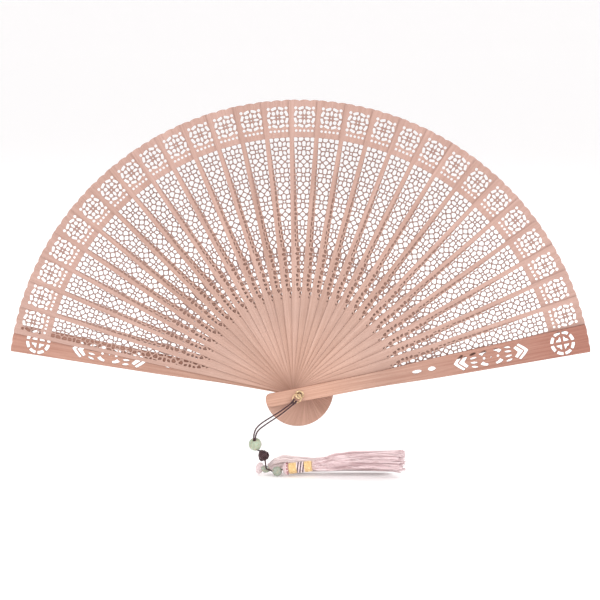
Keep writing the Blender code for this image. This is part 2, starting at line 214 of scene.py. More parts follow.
def stick_angle(name):
    """The angle of a stick's centre line from +X towards +Z, when the fan is open."""
    if name == "guard_front":
        return 90 - CLOSING_TURN
    return 90 - CLOSING_TURN * COUPLINGS[name + "_turn"]["ratio"]


def new_object(name, data):
    item = bpy.data.objects.new(name, data)
    bpy.context.scene.collection.objects.link(item)
    return item


def mesh_of(item):
    """The evaluated mesh of an object, with its loose caps welded; the object is removed."""
    bpy.context.view_layer.update()
    graph = bpy.context.evaluated_depsgraph_get()
    mesh = bpy.data.meshes.new_from_object(item.evaluated_get(graph))
    shape = bmesh.new()
    shape.from_mesh(mesh)
    bmesh.ops.remove_doubles(shape, verts=shape.verts, dist=0.000002)
    shape.to_mesh(mesh)
    shape.free()
    bpy.data.objects.remove(item, do_unlink=True)
    return mesh


def arc(centre, radius, start, end, steps):
    """Points on an arc; the angles are in degrees."""
    angles = [radians(start + (end - start) * step / steps) for step in range(steps + 1)]
    return [(centre[0] + radius * cos(angle), centre[1] + radius * sin(angle)) for angle in angles]


def catmull(route, step):
    """A Catmull-Rom curve through the route's points, with a point about every step."""
    points = []
    for index in range(len(route) - 1):
        before = route[max(index - 1, 0)]
        start = route[index]
        end = route[index + 1]
        after = route[min(index + 2, len(route) - 1)]
        count = max(1, round((end - start).length / step))
        for part in range(count):
            t = part / count
            points.append(0.5 * (
                2 * start
                + (end - before) * t
                + (2 * before - 5 * start + 4 * end - after) * t * t
                + (3 * start - before - 3 * end + after) * t * t * t
            ))
    points.append(route[-1])
    return points


def add_spline(curve, run, cyclic):
    spline = curve.splines.new("POLY")
    spline.points.add(len(run) - 1)
    for point, place in zip(spline.points, run):
        point.co = (*place, 1.0)
    spline.use_cyclic_u = cyclic
    spline.use_smooth = True


def tube_curve(name, runs, radius, resolution=2, cyclic=False):
    """A curve object with one spline for each run of points."""
    curve = bpy.data.curves.new(name, "CURVE")
    curve.dimensions = "3D"
    curve.bevel_depth = radius
    curve.bevel_resolution = resolution
    curve.use_fill_caps = not cyclic
    for run in runs:
        add_spline(curve, run, cyclic)
    return new_object(name, curve)


def turned_mesh(name, profile, steps=48):
    """A turned body: the profile is (radius, height) pairs, from the top down the outer side."""
    edges = [(index, index + 1) for index in range(len(profile) - 1)]
    if profile[0][0] > 0:
        edges.append((len(profile) - 1, 0))
    mesh = bpy.data.meshes.new(name)
    mesh.from_pydata([(radius, 0.0, height) for radius, height in profile], edges, [])
    item = new_object(name, mesh)
    screw = item.modifiers.new("turn", "SCREW")
    screw.steps = steps
    screw.render_steps = steps
    screw.use_merge_vertices = True
    screw.merge_threshold = 0.000002
    screw.use_smooth_shade = True
    turned = mesh_of(item)
    turned.name = name
    turned.shade_smooth()
    return turned


def fit(item, slot_name, materials, *nodes, body="pivot"):
    """Give a piece its materials, the nodes it replaces and its body; slot_name is not used."""
    for material in materials:
        item.data.materials.append(material)
    if nodes:
        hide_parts(*nodes)
    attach(item, body)
    return item


def stand_in(node, piece, mesh, direction, slot_name, materials):
    """A piece in its node's place, with its local Z along a direction."""
    item = new_object(piece, mesh)
    item.location = node_centre(node)
    item.rotation_mode = "QUATERNION"
    item.rotation_quaternion = Vector((0, 0, 1)).rotation_difference(direction)
    return fit(item, slot_name, materials, node)


def disc(centre, radius, sides=8):
    """The corners of a round hole."""
    return [Vector(point) for point in arc(centre, radius, 0, 360 - 360 / sides, sides - 1)]


def across_x(radius, angle):
    """A vector square to X; the angle turns from Y towards Z."""
    return Vector((0.0, radius * cos(angle), radius * sin(angle)))


def skin(shape, rings):
    """Faces between each ring of vertices and the next."""
    faces = []
    for first, second in zip(rings, rings[1:]):
        for step in range(len(first)):
            following = (step + 1) % len(first)
            corners = (first[step], first[following], second[following], second[step])
            faces.append(shape.faces.new(corners))
    return faces


def smooth_mesh(name, shape):
    mesh = bpy.data.meshes.new(name)
    shape.to_mesh(mesh)
    shape.free()
    mesh.shade_smooth()
    return mesh


# ---- materials

class Shade:
    """A small helper that builds a node material."""

    def __init__(self, name):
        self.material = bpy.data.materials.new(name)
        self.material.use_nodes = True
        self.tree = self.material.node_tree
        self.shader = self.tree.nodes["Principled BSDF"]

    def feed(self, socket, value):
        """Link or set an input."""
        if isinstance(value, bpy.types.NodeSocket):
            self.tree.links.new(value, socket)
        elif socket.type == "RGBA" and len(value) == 3:
            socket.default_value = (*value, 1.0)
        else:
            socket.default_value = value

    def node(self, kind, settings=None, **inputs):
        """A new node; an input's name has underscores for its spaces."""
        made = self.tree.nodes.new("ShaderNode" + kind)
        for key, value in (settings or {}).items():
            setattr(made, key, value)
        for key, value in inputs.items():
            self.feed(made.inputs[key.replace("_", " ")], value)
        return made

    def pair(self, kind, operation, first, second):
        """A node that joins its first two inputs."""
        made = self.node(kind, {"operation": operation})
        self.feed(made.inputs[0], first)
        self.feed(made.inputs[1], second)
        return made.outputs[0]

    def math(self, operation, first, second=0.0):
        return self.pair("Math", operation, first, second)

    def times(self, first, second):
        return self.math("MULTIPLY", first, second)

    def moved(self, place, offset):
        return self.pair("VectorMath", "ADD", place, offset)

    def coordinates(self, scale=(1, 1, 1), offset=None):
        """Object coordinates in millimetres, times a scale for each axis."""
        source = self.node("TexCoord").outputs["Object"]
        if offset is not None:
            source = self.moved(source, offset)
        return self.node(
            "Mapping", Vector=source, Scale=[1000 * share for share in scale]
        ).outputs[0]

    def noise(self, scale, offset=None, detail=3.0, roughness=0.55, distortion=0.0):
        return self.node(
            "TexNoise", Vector=self.coordinates(scale, offset), Scale=1.0, Detail=detail,
            Roughness=roughness, Distortion=distortion,
        ).outputs[0]

    def waves(self, direction, scale):
        return self.node(
            "TexWave", {"bands_direction": direction}, Vector=self.coordinates(), Scale=scale
        ).outputs["Fac"]

    def ramp(self, value, stops):
        made = self.node("ValToRGB", Fac=value)
        ramp = made.color_ramp
        while len(ramp.elements) < len(stops):
            ramp.elements.new(0.5)
        for element, (place, colour) in zip(ramp.elements, stops):
            element.position = place
            element.color = (*colour, 1.0)
        return made.outputs[0]

    def levels(self, value, low, high, out_low=0.0, out_high=1.0):
        return self.node(
            "MapRange", Value=value, From_Min=low, From_Max=high, To_Min=out_low, To_Max=out_high
        ).outputs[0]

    def mix(self, factor, first, second, blend="MIX"):
        made = self.node("Mix", {"data_type": "RGBA", "blend_type": blend})
        for index, value in ((0, factor), (6, first), (7, second)):
            self.feed(made.inputs[index], value)
        return made.outputs[2]

    def tint(self, factor, colour, tone):
        return self.mix(factor, colour, tone, "MULTIPLY")

    def bump(self, height, strength, distance):
        made = self.node("Bump", Height=height, Strength=strength, Distance=distance)
        self.feed(self.shader.inputs["Normal"], made.outputs[0])

    def finish(self, colour, roughness, **constants):
        self.feed(self.shader.inputs["Base Color"], colour)
        self.feed(self.shader.inputs["Roughness"], roughness)
        for key, value in constants.items():
            self.feed(self.shader.inputs[key.replace("_", " ")], value)
        return self.material


def cover_shade_mask(look, side, along, slope):
    """Painted shade on the strip behind the next stick, which is seen only through that stick's openings."""
    edge = look.math("SUBTRACT", side, look.times(along, slope))
    covered = look.times(look.levels(edge, -3.5, -3.0), look.levels(along, 54.0, 62.0))
    return look.times(covered, look.levels(along, 88.0, 118.0, 0.65, 0.25))


def lattice_shade_mask(look, side, along, slope, offset):
    """Painted shade on the pierced panel where no stick lies behind it, and more weakly on the rosette at the rim.
    """
    across = look.math("ABSOLUTE", side)
    width = look.math("SUBTRACT", across, look.times(along, 0.025))
    inside = look.levels(width, 2.1, 2.4, 1.0, 0.0)
    free = look.levels(look.math("ADD", side, look.times(along, slope)), offset, offset + 0.4)
    ends = look.times(look.levels(along, 155.9, 156.2, 1.0, 0.0), look.levels(along, 57.0, 59.0))
    panel = look.times(look.times(inside, free), ends)
    rise = look.math("SUBTRACT", along, PANEL_CENTRE)
    squares = look.math("ADD", look.math("POWER", across, 2.0), look.times(rise, rise))
    return look.math("MAXIMUM", panel, look.levels(squares, 36.0, 46.0, 0.6, 0.0))


def wood_material(
    name, light, dark, streak_share, wall_shade_tone, far_tone, lattice_shade_tone=None, cover=None, backing=None
):
    """Planed sandalwood. Local Y runs along the grain, and local Z through the board.

    cover is the slope of the edge of the stick in front, and the strip behind that edge gets painted shade;
    backing is the slope and the offset of the edge of the stick behind, and the lattice clear of it gets
    painted shade. The wood also gets painted light near the pivot and painted shade on its cut walls.
    """
    look = Shade(name)
    luck = look.node("ObjectInfo").outputs["Random"]
    shift = look.node("CombineXYZ", X=luck, Y=luck, Z=luck).outputs[0]
    bend = look.noise((0.12, 0.022, 0.0), shift, detail=2.0)
    lane = look.node("CombineXYZ", X=look.times(bend, 0.0016)).outputs[0]
    wander = look.moved(shift, lane)
    streaks = look.noise((0.95, 0.018, 0.3), wander, detail=4.0, roughness=0.6)
    fibres = look.noise((5.5, 0.09, 1.5), wander, roughness=0.65)
    pores = look.noise((7.0, 0.42, 2.0), wander, detail=1.0)
    clouds = look.noise((0.10, 0.028, 0.1), shift, detail=2.0)

    colour = look.mix(look.levels(streaks, 0.36, 0.66, 0.0, streak_share), light, dark)
    colour = look.mix(look.levels(fibres, 0.35, 0.7, 0.0, 0.34), colour, dark)
    cloud_tone = look.ramp(clouds, [(0.3, (0.90, 0.87, 0.86)), (0.72, (1.05, 1.04, 1.03))])
    colour = look.tint(0.8, colour, cloud_tone)
    luck_tone = look.ramp(
        luck, [(0.0, (0.95, 0.93, 0.92)), (0.5, (1.0, 0.99, 0.99)), (1.0, (1.03, 1.03, 1.04))]
    )
    colour = look.tint(1.0, colour, luck_tone)
    pore_mask = look.levels(pores, 0.67, 0.76, 0.0, 0.5)
    colour = look.mix(pore_mask, colour, tuple(0.55 * part for part in dark))

    place = look.node("SeparateXYZ", Vector=look.coordinates())
    side = place.outputs["X"]
    along = place.outputs["Y"]
    far = look.levels(look.math("ADD", along, look.times(streaks, 50.0)), 60.0, 195.0)
    colour = look.tint(far, colour, far_tone)
    # Painted light near the pivot, against the shade between the stacked sticks.
    colour = look.tint(look.levels(along, 15.0, 50.0, 1.0, 0.0), colour, NEAR_PIVOT_LIGHT_TONE)
    # Painted shade on the strip behind the stick in front.
    if cover:
        colour = look.tint(cover_shade_mask(look, side, along, cover), colour, COVERED_SHADE_TONE)
    # Painted shade on the open lattice, which looks dark against the light behind it.
    if lattice_shade_tone:
        colour = look.tint(lattice_shade_mask(look, side, along, *backing), colour, lattice_shade_tone)

    # Painted shade on the cut walls and edges, the faces that turn sideways.
    normal = look.node("TexCoord").outputs["Normal"]
    facing = look.math("ABSOLUTE", look.node("SeparateXYZ", Vector=normal).outputs["Z"])
    colour = look.tint(look.levels(facing, 0.35, 0.8, 1.0, 0.0), colour, wall_shade_tone)
    grain = look.math("ADD", look.times(fibres, 0.7), look.times(streaks, 0.5))
    look.bump(look.math("SUBTRACT", grain, pore_mask), 0.35, 0.00006)
    return look.finish(colour, look.levels(fibres, 0.3, 0.7, 0.50, 0.66), Specular_IOR_Level=0.3)


def ribbon_material():
    look = Shade("ribbon_silk")
    weave = look.waves("Y", 1.6)
    colour = look.ramp(weave, [(0.2, (0.50, 0.36, 0.26)), (0.8, (0.66, 0.50, 0.38))])
    look.bump(weave, 0.4, 0.00003)
    return look.finish(colour, 0.55)


def metal_material(name, bright, dull, roughness):
    """Plated metal with fine scratches and a duller film in places."""
    look = Shade(name)
    film = look.noise((0.7, 0.7, 0.7), detail=4.0)
    scratch = look.noise((9.0, 1.0, 5.0), detail=2.0)
    colour = look.ramp(film, [(0.35, bright), (0.68, dull)])
    colour = look.mix(look.levels(scratch, 0.6, 0.75, 0.0, 0.3), colour, dull)
    look.bump(scratch, 0.12, 0.00002)
    gloss = look.levels(film, 0.3, 0.7, roughness - 0.06, roughness + 0.16)
    return look.finish(colour, gloss, Metallic=1.0)


def cord_material():
    """Dark twisted silk cord: fine slanting plies."""
    look = Shade("cord_silk_fine")
    plies = look.waves("DIAGONAL", 0.75)
    fuzz = look.noise((6, 6, 6))
    colour = look.ramp(plies, [(0.1, (0.018, 0.006, 0.008)), (0.85, (0.075, 0.022, 0.028))])
    colour = look.mix(look.levels(fuzz, 0.4, 0.75, 0.0, 0.3), colour, (0.13, 0.05, 0.06))
    look.bump(plies, 0.7, 0.00008)
    return look.finish(colour, 0.62, Sheen_Weight=0.25, Sheen_Roughness=0.4)


def jade_material(name, pale, deep):
    """Polished mottled green stone with soft veins."""
    look = Shade(name)
    mottle = look.noise((0.28, 0.28, 0.28), detail=5.0, distortion=0.8)
    veins = look.noise((0.9, 0.5, 0.7), detail=4.0, distortion=1.6)
    brightest = tuple(1.12 * part for part in pale)
    colour = look.ramp(mottle, [(0.3, deep), (0.55, pale), (0.8, brightest)])
    from_vein = look.math("ABSOLUTE", look.math("SUBTRACT", veins, 0.5))
    vein_mask = look.levels(from_vein, 0.0, 0.03, 0.4, 0.0)
    colour = look.mix(vein_mask, colour, tuple(0.6 * part for part in deep))
    look.bump(veins, 0.08, 0.00006)
    return look.finish(
        colour, look.levels(mottle, 0.3, 0.7, 0.16, 0.3), Subsurface_Weight=0.25,
        Subsurface_Scale=0.0015, Coat_Weight=0.4, Coat_Roughness=0.12,
    )


def thread_material(name, light, dark, scale=(0.02, 2.6, 2.6)):
    """Silk thread; the tone changes from strand to strand and from one thread to the next."""
    look = Shade(name)
    tone = look.noise(scale, detail=2.0)
    strand = look.noise([0.3 * part for part in scale], detail=1.0)
    fleck = look.noise((1.2, 7, 7), detail=2.0)
    brightest = tuple(min(1.0, 1.08 * part) for part in light)
    colour = look.ramp(tone, [(0.33, dark), (0.5, light), (0.68, brightest)])
    colour = look.mix(look.levels(strand, 0.38, 0.62, 0.55, 0.0), colour, dark)
    colour = look.mix(look.levels(fleck, 0.45, 0.8, 0.0, 0.25), colour, dark)
    look.bump(fleck, 0.3, 0.00005)
    return look.finish(colour, 0.45, Sheen_Weight=0.3, Sheen_Roughness=0.35)


def floor_material():
    """Nearly white, with a faint glow that keeps the floor pale under soft light."""
    look = Shade("studio_floor")
    speck = look.noise((0.05, 0.05, 0.05), detail=4.0)
    colour = look.ramp(speck, [(0.3, (0.955, 0.95, 0.95)), (0.7, (0.965, 0.96, 0.96))])
    return look.finish(
        colour, 0.7, Specular_IOR_Level=0.1, Emission_Color=(1.0, 0.99, 0.99), Emission_Strength=0.10
    )


# ---- flat boards

def blade_half_width(radius):
    return BLADE_PIVOT_HALF + BLADE_FLARE * radius


def guard_half_width(radius):
    share = min(max(radius / GUARD_WAIST_END, 0.0), 1.0)
    waist = GUARD_WAIST_DEPTH * sin(pi * share) ** 2
    return GUARD_PIVOT_HALF + GUARD_FLARE * radius - waist


def tail_end(half, corner):
    """The rounded lower end of a stick, from its left side round to its right side."""
    corner_height = -(TAIL - TAIL_CROWN - corner)
    inset = half - corner
    left = arc((-inset, corner_height), corner, 180, 264, 7)
    right = arc((inset, corner_height), corner, 276, 360, 7)
    return left + [(0.0, -TAIL)] + right


def scalloped_tip(half_width, lobe_depth):
    """The small lobes along a stick's outer end, from its right side to its left side."""
    half_angle = asin(half_width(REACH) / REACH)
    steps = LOBES * 8
    points = []
    for step in range(steps + 1):
        share = step / steps
        angle = half_angle * (1 - 2 * share)
        lobe = abs(sin(pi * LOBES * share)) ** 0.8
        radius = REACH - lobe_depth * (1 - lobe)
        points.append((radius * sin(angle), radius * cos(angle)))
    return points


def stick_outline(half_width, lobe_depth, corner, side_stations):
    outline = tail_end(half_width(0.0), corner)
    outline += [(half_width(radius), radius) for radius in side_stations]
    outline += scalloped_tip(half_width, lobe_depth)
    outline += [(-half_width(radius), radius) for radius in reversed(side_stations)]
    return outline


def board_mesh(name, loops, thickness, chamfer):
    """A flat board with openings: local Y runs along the stick and local Z through it."""
    curve = bpy.data.curves.new(name, "CURVE")
    curve.dimensions = "2D"
    curve.fill_mode = "BOTH"
    curve.extrude = thickness / 2 - chamfer
    curve.bevel_depth = chamfer
    curve.bevel_resolution = 0
    curve.offset = -chamfer
    for loop in loops:
        add_spline(curve, [(across, along, 0.0) for across, along in loop], True)
    mesh = mesh_of(new_object(name, curve))
    mesh.name = name
    mesh.shade_flat()
    return mesh


def clip(polygon, normal, limit):
    """The part of a convex polygon on the inner side of a line."""
    kept = []
    for index, point in enumerate(polygon):
        following = polygon[(index + 1) % len(polygon)]
        here = normal.dot(point) - limit
        there = normal.dot(following) - limit
        if here <= 0:
            kept.append(point)
        if (here < 0 < there) or (there < 0 < here):
            kept.append(point + (following - point) * (here / (here - there)))
    return kept


def polygon_area(polygon):
    total = 0.0
    for index, point in enumerate(polygon):
        following = polygon[(index + 1) % len(polygon)]
        total += point.x * following.y - following.x * point.y
    return total / 2


def soften(polygon, reach):
    """Cut the corners of an opening, and cut again what is still sharp."""
    for least_turn in (0.2, 0.85):
        rounded = []
        for index, point in enumerate(polygon):
            before = polygon[index - 1] - point
            following = polygon[(index + 1) % len(polygon)] - point
            if before.length < 1e-6 or following.length < 1e-6:
                continue
            if (-before).angle(following) < least_turn:
                rounded.append(point)
                continue
            for edge in (before, following):
                rounded.append(point + edge * min(0.32, reach / edge.length))
        polygon = rounded
    return polygon


def in_metres(polygon):
    """An opening's corners, drawn in millimetres, in the scene's units."""
    return [(point.x * MM, point.y * MM) for point in polygon]


def cell_round(seed, weight, seeds, panel):
    """The part of the panel nearest to a weighted seed, less half a wall towards each other seed."""
    growth = min(max((WALL_GROWS_BELOW - seed.y) / WALL_GROWS_OVER, 0.0), 1.0)
    wall = LATTICE_WALL + WALL_GROWTH * growth
    cell = list(panel)
    for other, other_weight in seeds:
        gap = other - seed
        if other is seed or gap.length > SEED_REACH:
            continue
        normal = gap.normalized()
        shift = (weight - other_weight) / (2 * gap.length)
        cell = clip(cell, normal, normal.dot((seed + other) / 2) + shift - wall / 2)
        if len(cell) < 3:
            return []
    return cell


def openings_round(seeds, panel):
    """One opening round each weighted seed, unless it would be too small to cut."""
    openings = []
    for seed, weight in seeds:
        cell = cell_round(seed, weight, seeds, panel)
        if not cell:
            continue
        area = polygon_area(cell)
        edge = sum((cell[index] - cell[index - 1]).length for index in range(len(cell)))
        if area > SMALLEST_OPENING and area / edge > NARROWEST_OPENING:
            openings.append(in_metres(soften(cell, 0.45)))
    return openings


def lattice_openings():
    """The long pierced panel: rosettes one above another, with leaves and a diamond between them."""
    motif = list(CENTRE_SEEDS)
    for across, along, weight in SIDE_SEEDS:
        motif += [(across, along, weight), (-across, along, weight)]
    seeds = []
    for repeat in range(MOTIF_REPEATS):
        centre = FIRST_ROSETTE - MOTIF_PERIOD * repeat
        for across, along, weight in motif:
            seeds.append((Vector((across, centre + along)), weight))
    top = LATTICE_HALVES[-1][0] - 1.0
    seeds += [(Vector((across, top)), 0.0) for across in (-5.2, -2.0, 2.0, 5.2)]
    panel = [Vector((half, radius)) for radius, half in LATTICE_HALVES]
    panel += [Vector((-half, radius)) for radius, half in reversed(LATTICE_HALVES)]
    return openings_round(seeds, panel)


def ring_slot(centre, radii, middle, spread):
    """A slot along part of a ring; middle and spread are angles in degrees."""
    inner, outer = radii
    points = arc(centre, outer, middle - spread, middle + spread, 4)
    points += arc(centre, inner, middle + spread, middle - spread, 4)
    return [Vector(point) for point in points]


def petal(start, end, half_width, blunt=0.45):
    """An opening between two points, pointed at both ends and fullest near its middle."""
    start = Vector(start)
    end = Vector(end)
    along = end - start
    across = Vector((-along.y, along.x)).normalized() * half_width
    shares = [0.0, 0.16, blunt, 1 - blunt, 0.84]
    shape = []
    for side, stations in ((1, shares), (-1, [1 - share for share in shares])):
        for share in stations:
            fullness = sin(pi * min(max(share, 0.02), 0.98)) ** 0.55
            shape.append(start + along * share + across * side * fullness)
    return shape


def rosette_openings():
    """The square panel at the rim: a ring of eight slots round a cross, and a hole in each corner."""
    centre = Vector((0.0, PANEL_CENTRE))
    shapes = [disc(centre, 0.5)]
    for step in range(8):
        side = 0.7 if step % 2 else -0.7
        shapes.append(ring_slot(centre, PANEL_RING, 22.5 + 45 * step + side, 16.5))
    for step in range(4):
        angle = radians(90 * step)
        outward = Vector((cos(angle), sin(angle)))
        diagonal = outward + Vector((-outward.y, outward.x))
        shapes.append(petal(centre + outward * 1.25, centre + outward * 4.75, 0.84))
        shapes.append(disc(centre + diagonal * 2.45, 1.25))
        shapes.append(disc(centre + diagonal * 5.4, 1.0))
    return [in_metres(soften(shape, 0.3)) for shape in shapes]


def dot_openings():
    """A row of five square holes between the lattice and the rim's panel."""
    half = DOT_SIZE / 2
    openings = []
    for place in range(-2, 3):
        across = place * DOT_PITCH
        square = [
            Vector((across + half * x, DOT_ROW + half * y)) for x, y in ((-1, -1), (1, -1), (1, 1), (-1, 1))
        ]
        openings.append(in_metres(soften(square, 0.35)))
    return openings


def pin_hole():
    return arc((0.0, 0.0), PIN_HOLE_RADIUS, 0, 348.75, 31)


def add_ribbon(mesh, thickness):
    """A short length of the linking ribbon, glued across the blade's back face."""
    half = blade_half_width(RIBBON_PLACE) - 0.3 * MM
    columns = 12
    shape = bmesh.new()
    shape.from_mesh(mesh)
    rings = []
    for column in range(columns + 1):
        across = half * (2 * column / columns - 1)
        ripple = 0.02 * MM * sin(column * 1.9)
        ring = []
        for layer, edge in ((0, -1), (0, 1), (1, 1), (1, -1)):
            sway = 0.05 * MM * sin(column * 1.3 + edge)
            depth = RIBBON_GAP + layer * RIBBON_THICKNESS + ripple
            along = RIBBON_PLACE + edge * RIBBON_HEIGHT / 2 + sway
            ring.append(shape.verts.new((across, along, -thickness / 2 - depth)))
        rings.append(ring)
    faces = skin(shape, rings)
    faces += [shape.faces.new(ring) for ring in (rings[0], rings[-1])]
    for face in faces:
        face.material_index = 1
    bmesh.ops.recalc_face_normals(shape, faces=faces)
    shape.to_mesh(mesh)
    shape.free()


def hang_stick(name, piece, mesh, slot_name):
    """A stick on the pivot, turned to its place in the open fan."""
    item = new_object(piece, mesh)
    item.location = (0.0, node_centre(name).y, 0.0)
    item.rotation_euler = (pi / 2, radians(90 - stick_angle(name)), 0.0)
    fit(item, slot_name, (), name, body=name)


def make_blades(wood, first_wood, ribbon):
    thickness = node_size("blade_01").y
    outline = stick_outline(blade_half_width, BLADE_LOBE_DEPTH, BLADE_TAIL_CORNER, [0.0])
    loops = [outline, pin_hole()]
    loops += lattice_openings() + rosette_openings() + dot_openings()
    mesh = board_mesh("pierced_blade", loops, thickness, BLADE_CHAMFER)
    add_ribbon(mesh, thickness)
    mesh.materials.append(wood)
    mesh.materials.append(ribbon)
    first_mesh = mesh.copy()
    first_mesh.materials[0] = first_wood
    for number in range(1, BLADE_COUNT + 1):
        name = f"blade_{number:02d}"
        hang_stick(name, f"pierced_{name}", first_mesh if number == 1 else mesh, "blade_wood")


# ---- guards


def medallion_openings():
    """Eight slots in a ring, and four notched wedges that leave a cross of wood inside it."""
    centre = Vector((0.0, MEDALLION_CENTRE))
    shapes = [ring_slot(centre, MEDALLION_RING, 22.5 + 45 * step, 17.5) for step in range(8)]
    wedge = [(0.75, 0.7), (0.9, 4.2), (2.5, 3.1), (2.3, 2.2), (3.1, 2.1), (4.2, 0.9)]
    for side, end in ((-1, -1), (-1, 1), (1, -1), (1, 1)):
        shapes.append([centre + Vector((side * across, end * along)) for across, along in wedge])
    return shapes


def crescent(side):
    """A comma-shaped quarter of an oval ring, from the cartouche's middle."""
    outer = []
    inner = []
    for step in range(9):
        angle = radians(30 + 6 * step)
        across = side * sin(angle) ** 0.7
        along = cos(angle) ** 0.7
        width = 2.3 - 0.11 * step
        outer.append((OVAL_HALF_WIDTH * across, OVAL_HALF_LENGTH * along))
        inner.append(((OVAL_HALF_WIDTH - width) * across, (OVAL_HALF_LENGTH - width) * along))
    return outer + inner[::-1]


def cartouche_openings():
    """A long cartouche: two chevrons at each end, four slits, and a broken oval round its middle."""
    shapes = [disc((0.0, CARTOUCHE_CENTRE), 0.45)]
    chevron = [(0, 23.2), (2.6, 20.8), (5.0, 17.8), (4.2, 16.4), (2.2, 18.6), (0, 20.8)]
    arrow = [(0, 20.1), (3.8, 15.8), (2.7, 14.2), (0, 16.6)]
    for end in (-1, 1):
        def at(across, along):
            return Vector((across, CARTOUCHE_CENTRE + end * along))

        for outline in (chevron, arrow):
            mirrored = [(-across, along) for across, along in outline[-2:0:-1]]
            shapes.append([at(*point) for point in outline + mirrored])
        for side in (-1, 1):
            shapes.append(petal(at(side * 4.5, 8.5), at(side * 3.5, 12.9), 0.72))
            shapes.append(petal(at(side * 1.65, 8.4), at(side * 1.15, 13.1), 0.70))
            shapes.append([at(*point) for point in crescent(side)])
        shapes.append(disc(at(0.0, 4.3), 0.85, 12))
    return shapes


def guard_openings():
    """The medallion, the cartouche, two lozenges nearer the pivot, and the pin's hole."""
    shapes = medallion_openings() + cartouche_openings()
    shapes.append(petal((0.0, 69.6), (0.0, 76.0), 1.15, 0.48))
    shapes.append(petal((0.0, 79.4), (0.0, 84.6), 1.45, 0.48))
    loops = [pin_hole()]
    for shape in shapes:
        if polygon_area(shape) < 0:
            shape = shape[::-1]
        loops.append(in_metres(soften(shape, 0.25)))
    return loops


def make_guards(front_wood, back_wood):
    waist = [GUARD_WAIST_END * step / 16 for step in range(17)]
    outline = stick_outline(guard_half_width, GUARD_LOBE_DEPTH, GUARD_TAIL_CORNER, waist)
    thickness = node_size("guard_front").y
    mesh = board_mesh("guard_board", [outline] + guard_openings(), thickness, GUARD_CHAMFER)
    for name, wood in (("guard_front", front_wood), ("guard_back", back_wood)):
        own_mesh = mesh.copy()
        own_mesh.materials.append(wood)
        hang_stick(name, f"carved_{name}", own_mesh, "guard_wood")


# ---- pivot hardware

def make_washers(steel, brass):
    """Pressed washers with a rolled rim and a shallow dish; the front one is steel inside its rim."""
    for name, metal, slot_name in (("washer_front", steel, "washer_steel"), ("washer_back", brass, "brass")):
        size = node_size(name)
        radius = size.x / 2
        half = size.y / 2
        bore = PIN_HOLE_RADIUS
        dish = bore + 0.35 * MM
        profile = [(bore, 0.6 * half), (dish, 0.75 * half)]
        profile += [
            (radius - half + half * sin(angle), half * cos(angle))
            for angle in (step * pi / 8 for step in range(9))
        ]
        profile += [(dish, -0.75 * half), (bore, -0.6 * half)]
        mesh = turned_mesh(name, profile, 56)
        for polygon in mesh.polygons:
            polygon.material_index = 1 if polygon.center.xy.length > radius - 0.75 * MM else 0
        stand_in(name, f"pressed_{name}", mesh, Vector((0, -1, 0)), slot_name, (metal, brass))


def ring_place():
    return Vector((0.0, node_centre("wire_ring").y, 0.0)) + RING_RADIUS * RING_LEAN


def make_ring(brass):
    """A split ring of round wire: its two ends lie side by side for a short way."""
    centre = ring_place()
    steps = 96
    points = []
    for step in range(steps + 1):
        share = step / steps
        angle = radians(385.0 * share - 100.0)
        side = 0.36 * MM * (2 * share - 1) * (abs(2 * share - 1) ** 4)
        points.append(centre + Vector((RING_RADIUS * cos(angle), side, RING_RADIUS * sin(angle))))
    item = tube_curve("split_ring", [points], RING_WIRE_RADIUS, resolution=4)
    fit(item, "brass", (brass,), "wire_ring")


# ---- cord, beads and knot

def make_hitch(silk):
    """The cord's doubled end, hitched round the ring."""
    far = ring_place() + RING_RADIUS * RING_LEAN
    across = RING_LEAN.cross(Vector((0, 1, 0))) * 1.25
    front = Vector((0, -1, 0)) * 1.15
    half = [
        (2.0, 0.62, 0.0), (1.3, 0.6, -0.35), (0.4, 0.62, -0.85), (-0.65, 0.68, -0.5),
        (-0.85, 0.7, 0.35), (-0.2, 0.72, 0.88), (0.7, 0.55, 0.9),
    ]
    mirrored = [(down, -side, out) for down, side, out in reversed(half)]
    route = [
        far + (RING_LEAN * down + across * side + front * out) * MM
        for down, side, out in half + [(1.0, 0.0, 0.85)] + mirrored
    ]
    item = tube_curve("hitch_loops", [catmull(route, 0.12 * MM)], 1.25 * CORD_RADIUS, resolution=3)
    return fit(item, "cord_silk", (silk,), "cord_hitch")


def strand_route(side):
    """One strand from the hitch down to the mouth of the large bead."""
    return [
        place + side * spread * MM * STRAND_SIDE for place, spread in zip(CORD_ROUTE, STRAND_SPREAD)
    ]


def make_cords(silk, hitch, on_cord):
    """The long strand, through every bead into the tassel, and the short one into the large bead."""
    bead = node_centre("bead_large")
    knot = node_centre("cord_knot")
    small = node_centre("bead_small")
    inside = 0.48 * MM * STRAND_SIDE
    mouth = BEAD_AXIS * 2.6 * MM
    right = strand_route(1) + [bead + mouth + inside, bead + BEAD_AXIS * 0.5 * MM + inside]
    left = strand_route(-1) + [
        bead + mouth - inside,
        bead - mouth - inside * 0.4,
        bead - BEAD_AXIS * 4.6 * MM,
        knot + mm(0.8, 1.0, 1.5),
        knot + mm(1.3, -2.0, -3.4),
    ]
    left += LOWER_CORD_ROUTE
    left += [small - SMALL_BEAD_AXIS * 2.2 * MM, small + SMALL_BEAD_AXIS * 2.0 * MM]
    left += [TASSEL_START, SKIRT_STATIONS[0][0], SKIRT_STATIONS[1][0]]
    for name, route, nodes, far_end, carried in (
        ("cord_long", left, ("cord_strand_left", "cord_lower"), "fitting", on_cord + [hitch]),
        ("cord_short", right, ("cord_strand_right",), "knot", []),
    ):
        points = catmull(route, 0.9 * MM)
        item = fit(tube_curve(name, [points], CORD_RADIUS, resolution=3), "cord_silk", (silk,), *nodes)


